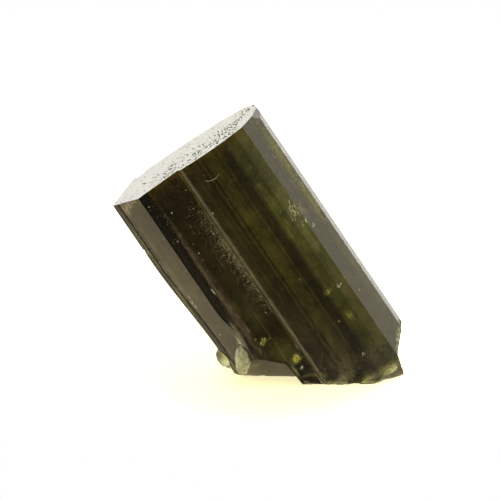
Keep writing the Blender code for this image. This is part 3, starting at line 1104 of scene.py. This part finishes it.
class CrystalFinish(bpy.types.PropertyGroup):
    """The stone's colour and polish"""

    polish: a_share("Polish", "Roughness of the grown faces", 0.06)
    dull_foot: a_share("Dull foot", "Roughness added towards the foot", 0.22)
    break_roughness: a_share("Break roughness", "Roughness that breaks add", 0.16)
    frost_roughness: a_share("Frost roughness", "Roughness that frosted faces add", 0.34)
    pit_roughness: a_share("Pit roughness", "Roughness that pits add", 0.8)
    relief: a_length("Fine relief", "Depth of the finest relief", 0.000012)
    refraction: bpy.props.FloatProperty(
        name="Refraction", description="Index of refraction", default=1.71, min=1.0, max=3.0
    )
    density: bpy.props.FloatProperty(
        name="Density of colour", description="Absorption per metre, at most", default=1000.0
    )
    let_through: a_colour("Let through", "Share of each colour that is let through", (0.37, 0.355, 0.16))
    # Tone of the right bevel's zone, and painted shade on the faces of the left bevel.
    bevel_tone_and_painted_shade: a_colour("Bevel tone", "Tone of the bevels", (0.30, 0.28, 0.24))
    pyramid_tone: a_colour("Pyramid tone", "Tone of the small faces beside the top", (0.75, 0.70, 0.66))
    strip_tone: a_colour("Strip tone", "Tone of the narrow strip on the left", (0.55, 0.54, 0.22))
    outer_tone: a_colour("Outer tone", "Tone right of the right bevel", (0.12, 0.12, 0.03))
    rim_tone: a_colour("Rim tone", "Tone of the thin right edge", (0.92, 0.88, 0.70))
    black_tone: a_colour("Black tone", "Tone of the darkest stripe", (0.34, 0.26, 0.18))
    dark_tone: a_colour("Dark tone", "Tone left of the ridge", (0.13, 0.10, 0.08))
    grey_tone: a_colour("Grey tone", "Tone of the grey stripe", (0.25, 0.20, 0.24))
    ridge_tone: a_colour("Ridge tone", "Tone of the ridge", (0.70, 0.66, 0.50))
    brown_tone: a_colour("Brown tone", "Tone of the brown zones", (0.24, 0.20, 0.13))
    olive_tone: a_colour("Olive tone", "Tone of the olive zones", (0.36, 0.33, 0.18))
    green_tone: a_colour("Green tone", "Tone of the green zones", (0.41, 0.43, 0.25))
    pale_tone: a_colour("Pale tone", "Tone beside the right bevel", (0.46, 0.46, 0.27))
    moss_tint: a_colour("Moss tint", "Tint of the greener patches", (0.80, 1.0, 0.60))
    rust_tint: a_colour("Rust tint", "Tint of the redder patches", (1.0, 0.82, 1.0))
    rust: a_colour("Rust", "Tone just under the top face", (0.80, 0.50, 0.12))
    clear_middle: a_share("Clear middle", "How much clearer the stone is at middle height", 0.55)
    top_tone: a_colour("Top tone", "Tone of the top face", (0.66, 0.66, 0.52))
    stain: a_colour("Stain", "Tone of the stains in the top face", (0.34, 0.29, 0.12))
    # Painted shade in the pits of the top face.
    pit_painted_shade: a_colour("Pit tone", "Tone of the pits in the top face", (0.05, 0.05, 0.04))
    left_break: a_colour("Left break", "Tone of the break at the lower left", (0.30, 0.28, 0.20))
    right_break: a_colour("Right break", "Tone of the breaks at the lower right", (0.80, 0.78, 0.50))
    frost: a_colour("Frost", "Tone of the frosted growths", (0.78, 0.79, 0.58))
    frost_clearness: a_share("Frost clearness", "How much light frosted stone lets through", 0.55)


class DustLook(bpy.types.PropertyGroup):
    """What lies on the faces and in the healed cracks"""

    speck: a_colour("Speck", "Colour of the dust specks", (0.66, 0.60, 0.44))
    fibre: a_colour("Fibre", "Colour of the dust fibre", (0.80, 0.74, 0.58))
    feather: a_colour("Feather", "Colour of the small healed cracks", (0.80, 0.80, 0.66))
    # Colour of the violet-brown flakes, partly a painted reflection of the floor.
    violet_haze_and_reflection: a_colour("Haze", "Colour of the violet-brown flakes", (0.34, 0.26, 0.19))
    glow: a_colour("Glow", "Colour of the yellow-green flakes", (0.40, 0.39, 0.08))
    speck_count: bpy.props.IntProperty(
        name="Specks", description="How many dust specks", default=2500, min=0
    )
    speck_size: a_length("Speck size", "Width of a usual speck", 0.000019)
    fibre_radius: a_length("Fibre radius", "Radius of the dust fibre", 0.000011)


class StageLook(bpy.types.PropertyGroup):
    """The floor, the light and the camera"""

    floor_radius: a_length("Floor radius", "Radius of the pale floor", 0.045)
    floor_front: a_length("Floor in front", "How far the floor reaches in front", 0.016)
    # Painted warm light beside the crystal, used as the floor's colour and as the colour of its glow.
    floor_painted_glow: a_colour("Floor, near", "Colour of the floor beside the crystal", (1.0, 0.92, 0.56))
    floor_far: a_colour("Floor, further off", "Colour of the floor away from the crystal", (1.0, 1.0, 1.0))
    floor_fill: a_share("Floor fill", "The floor's own light, which softens the shadow", 0.85)
    light_behind: a_colour("Light behind", "Light from behind", (2.8, 2.74, 2.48))
    light_beside: a_colour("Light beside", "Light from the sides", (1.5, 1.38, 1.0))
    light_in_front: a_colour("Light in front", "Light from in front", (0.085, 0.072, 0.045))
    light_below: a_colour("Light below", "Light that faces take from the floor", (0.93, 0.78, 0.52))
    light_under: a_colour("Light under", "Light that faces take from the shaded floor", (0.40, 0.33, 0.19))
    elevation: bpy.props.FloatProperty(
        name="Camera elevation", description="Above level", default=math.radians(21.0), subtype="ANGLE"
    )
    lens: bpy.props.FloatProperty(name="Lens", description="Focal length in millimetres", default=500.0)
    view_width: a_length("View width", "Width of the camera's view at the crystal", 0.033)


# ---------------------------------------------------------------- operators


class OBJECT_OT_grow_crystal(bpy.types.Operator):
    """Grow the crystal with its growth lines, pitted top, breaks and rounded growths"""

    bl_idname = "vesuvianite.grow_crystal"
    bl_label = "Grow Crystal"

    def execute(self, context):
        axes = bpy.data.objects.new("growth_axes", None)
        context.scene.collection.objects.link(axes)
        axes.matrix_world = standing_matrix()
        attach(axes, BODY)
        finish = context.scene.crystal_finish
        crystal = grown_crystal()
        if not crystal.data.polygons:
            raise RuntimeError("The crystal has no faces left after its cuts")
        middle, radii, roughness, slant = CORNER_LUMP
        corner = tool_object(pebble(middle, radii, roughness, 5, slant), "frosted")
        store_kinds(crystal.data)
        for obj, name, material in (
            (crystal, "vesuvianite_crystal", crystal_material(axes, finish)),
            (corner, "frosted_corner", frosted_material(axes, finish)),
        ):
            obj.data.transform(standing_matrix())
            obj.data.shade_smooth()
            obj.data.set_sharp_from_angle(angle=SHARP_ANGLE)
            finished_piece(obj, name, material)
            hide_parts(NODE)
        for kind in KINDS:
            bpy.data.materials.remove(kind_marker(kind))
        return {"FINISHED"}


class OBJECT_OT_scatter_dust(bpy.types.Operator):
    """Scatter the dust specks, lay the fibre and draw the small healed cracks and flakes on the crystal"""

    bl_idname = "vesuvianite.scatter_dust"
    bl_label = "Scatter Dust"

    def execute(self, context):
        look = context.scene.dust_look
        find = surface_finder(bpy.data.objects["vesuvianite_crystal"])
        pieces = (
            ("dust_specks", dust_specks(find, look), plain_material("dust", look.speck, (0.5, 1.4))),
            ("dust_fibre", dust_fibre(find, look), plain_material("fibre", look.fibre, (0.85, 1.1))),
            ("healed_cracks", healed_cracks(find), crack_material(look)),
            ("soft_flakes", soft_flakes(find), flake_material(look)),
        )
        for name, made, material in pieces:
            if not made.faces:
                raise RuntimeError(f"Nothing was made for {name}")
            bmesh.ops.transform(made, matrix=standing_matrix(), verts=made.verts)
            finished_piece(new_object(made, name), name, material)
        return {"FINISHED"}


class OBJECT_OT_set_stage(bpy.types.Operator):
    """Lay the pale floor, light it softly and place the camera"""

    bl_idname = "vesuvianite.set_stage"
    bl_label = "Set Stage"

    def execute(self, context):
        look = context.scene.stage_look
        made = bmesh.new()
        behind = Matrix.Translation((0.0, look.floor_radius - look.floor_front, 0.0))
        bmesh.ops.create_circle(made, cap_ends=True, segments=96, radius=look.floor_radius, matrix=behind)
        floor = new_object(made, "floor")
        floor.data.materials.append(floor_material(look))
        floor.visible_glossy = False
        light_world(context.scene, look)
        place_camera(context.scene, look)
        return {"FINISHED"}


# Where the middle of the top face is in the camera's view, which is 500 across and 500 down
VIEW_SIZE = 500.0
TOP_IN_VIEW = Vector((184.4, 155.5))


def place_camera(scene, look):
    """A long lens, level, looking down on the crystal's broad face."""
    scene.view_settings.view_transform = "Standard"
    back = Vector((0.0, -math.cos(look.elevation), math.sin(look.elevation)))
    up = Vector((0.0, math.sin(look.elevation), math.cos(look.elevation)))
    pixel = look.view_width / VIEW_SIZE
    aside = (VIEW_SIZE / 2 - TOP_IN_VIEW.x) * pixel
    above = (TOP_IN_VIEW.y - VIEW_SIZE / 2) * pixel
    centre = TOP_CENTRE * MM + Vector((aside, 0.0, 0.0)) + up * above
    data = bpy.data.cameras.new("camera")
    data.lens = look.lens
    distance = look.view_width * look.lens / data.sensor_width
    data.clip_start = 0.1 * distance
    data.clip_end = 10.0 * distance
    camera = bpy.data.objects.new("camera", data)
    scene.collection.objects.link(camera)
    camera.location = centre + back * distance
    camera.rotation_mode = "QUATERNION"
    camera.rotation_quaternion = (-back).to_track_quat("-Z", "Y")
    scene.camera = camera


def light_world(scene, look):
    """Soft light from behind, above and the sides, and little from in front. The camera sees white."""
    world = bpy.data.worlds.new("soft_studio")
    world.use_nodes = True
    scene.world = world
    tree = world.node_tree
    way = add_node(tree, "ShaderNodeTexCoord", "Way that the light comes from").outputs["Generated"]
    split = add_node(tree, "ShaderNodeSeparateXYZ", "Its parts", {0: way}).outputs
    beside = ramp_node(tree, "From in front to beside", split["Y"], -0.92, -0.1)
    behind = ramp_node(tree, "From beside to behind", split["Y"], 0.3, 0.80)
    below = ramp_node(tree, "From level to below", split["Z"], -0.15, -0.70)
    under = ramp_node(tree, "Straight down", split["Z"], -0.66, -0.80)
    further = ramp_node(tree, "Behind the front edge", split["Y"], 0.15, 0.40)
    under = math_node(tree, "MULTIPLY", "Under the crystal", under, further)
    seen = add_node(tree, "ShaderNodeLightPath", "Seen by the camera").outputs["Is Camera Ray"]
    light = look.light_in_front
    for label, share, added in (
        ("With beside", beside, look.light_beside),
        ("With behind", behind, look.light_behind),
        ("With below", below, look.light_below),
        ("With the shade under the crystal", under, look.light_under),
        ("White to the camera", seen, (1.0, 1.0, 1.0)),
    ):
        light = mix_colours(tree, label, share, light, added)
    feed(tree, tree.nodes["Background"], {"Color": light})


class VIEW3D_PT_crystal(bpy.types.Panel):
    """The crystal's operators and settings"""

    bl_label = "Vesuvianite Crystal"
    bl_idname = "VIEW3D_PT_crystal"
    bl_space_type = "VIEW_3D"
    bl_region_type = "UI"
    bl_category = "Crystal"

    def draw(self, context):
        column = self.layout.column()
        for operator in OPERATORS:
            column.operator(operator.bl_idname)


OPERATORS = (OBJECT_OT_grow_crystal, OBJECT_OT_scatter_dust, OBJECT_OT_set_stage)
CLASSES = (CrystalFinish, DustLook, StageLook, *OPERATORS, VIEW3D_PT_crystal)


def register():
    for each in CLASSES:
        bpy.utils.register_class(each)
    bpy.types.Scene.crystal_finish = bpy.props.PointerProperty(type=CrystalFinish)
    bpy.types.Scene.dust_look = bpy.props.PointerProperty(type=DustLook)
    bpy.types.Scene.stage_look = bpy.props.PointerProperty(type=StageLook)


def unregister():
    del bpy.types.Scene.crystal_finish
    del bpy.types.Scene.dust_look
    del bpy.types.Scene.stage_look
    for each in reversed(CLASSES):
        bpy.utils.unregister_class(each)


def main():
    register()
    bpy.ops.vesuvianite.grow_crystal()
    bpy.ops.vesuvianite.scatter_dust()
    bpy.ops.vesuvianite.set_stage()


if __name__ == "__main__":
    main()
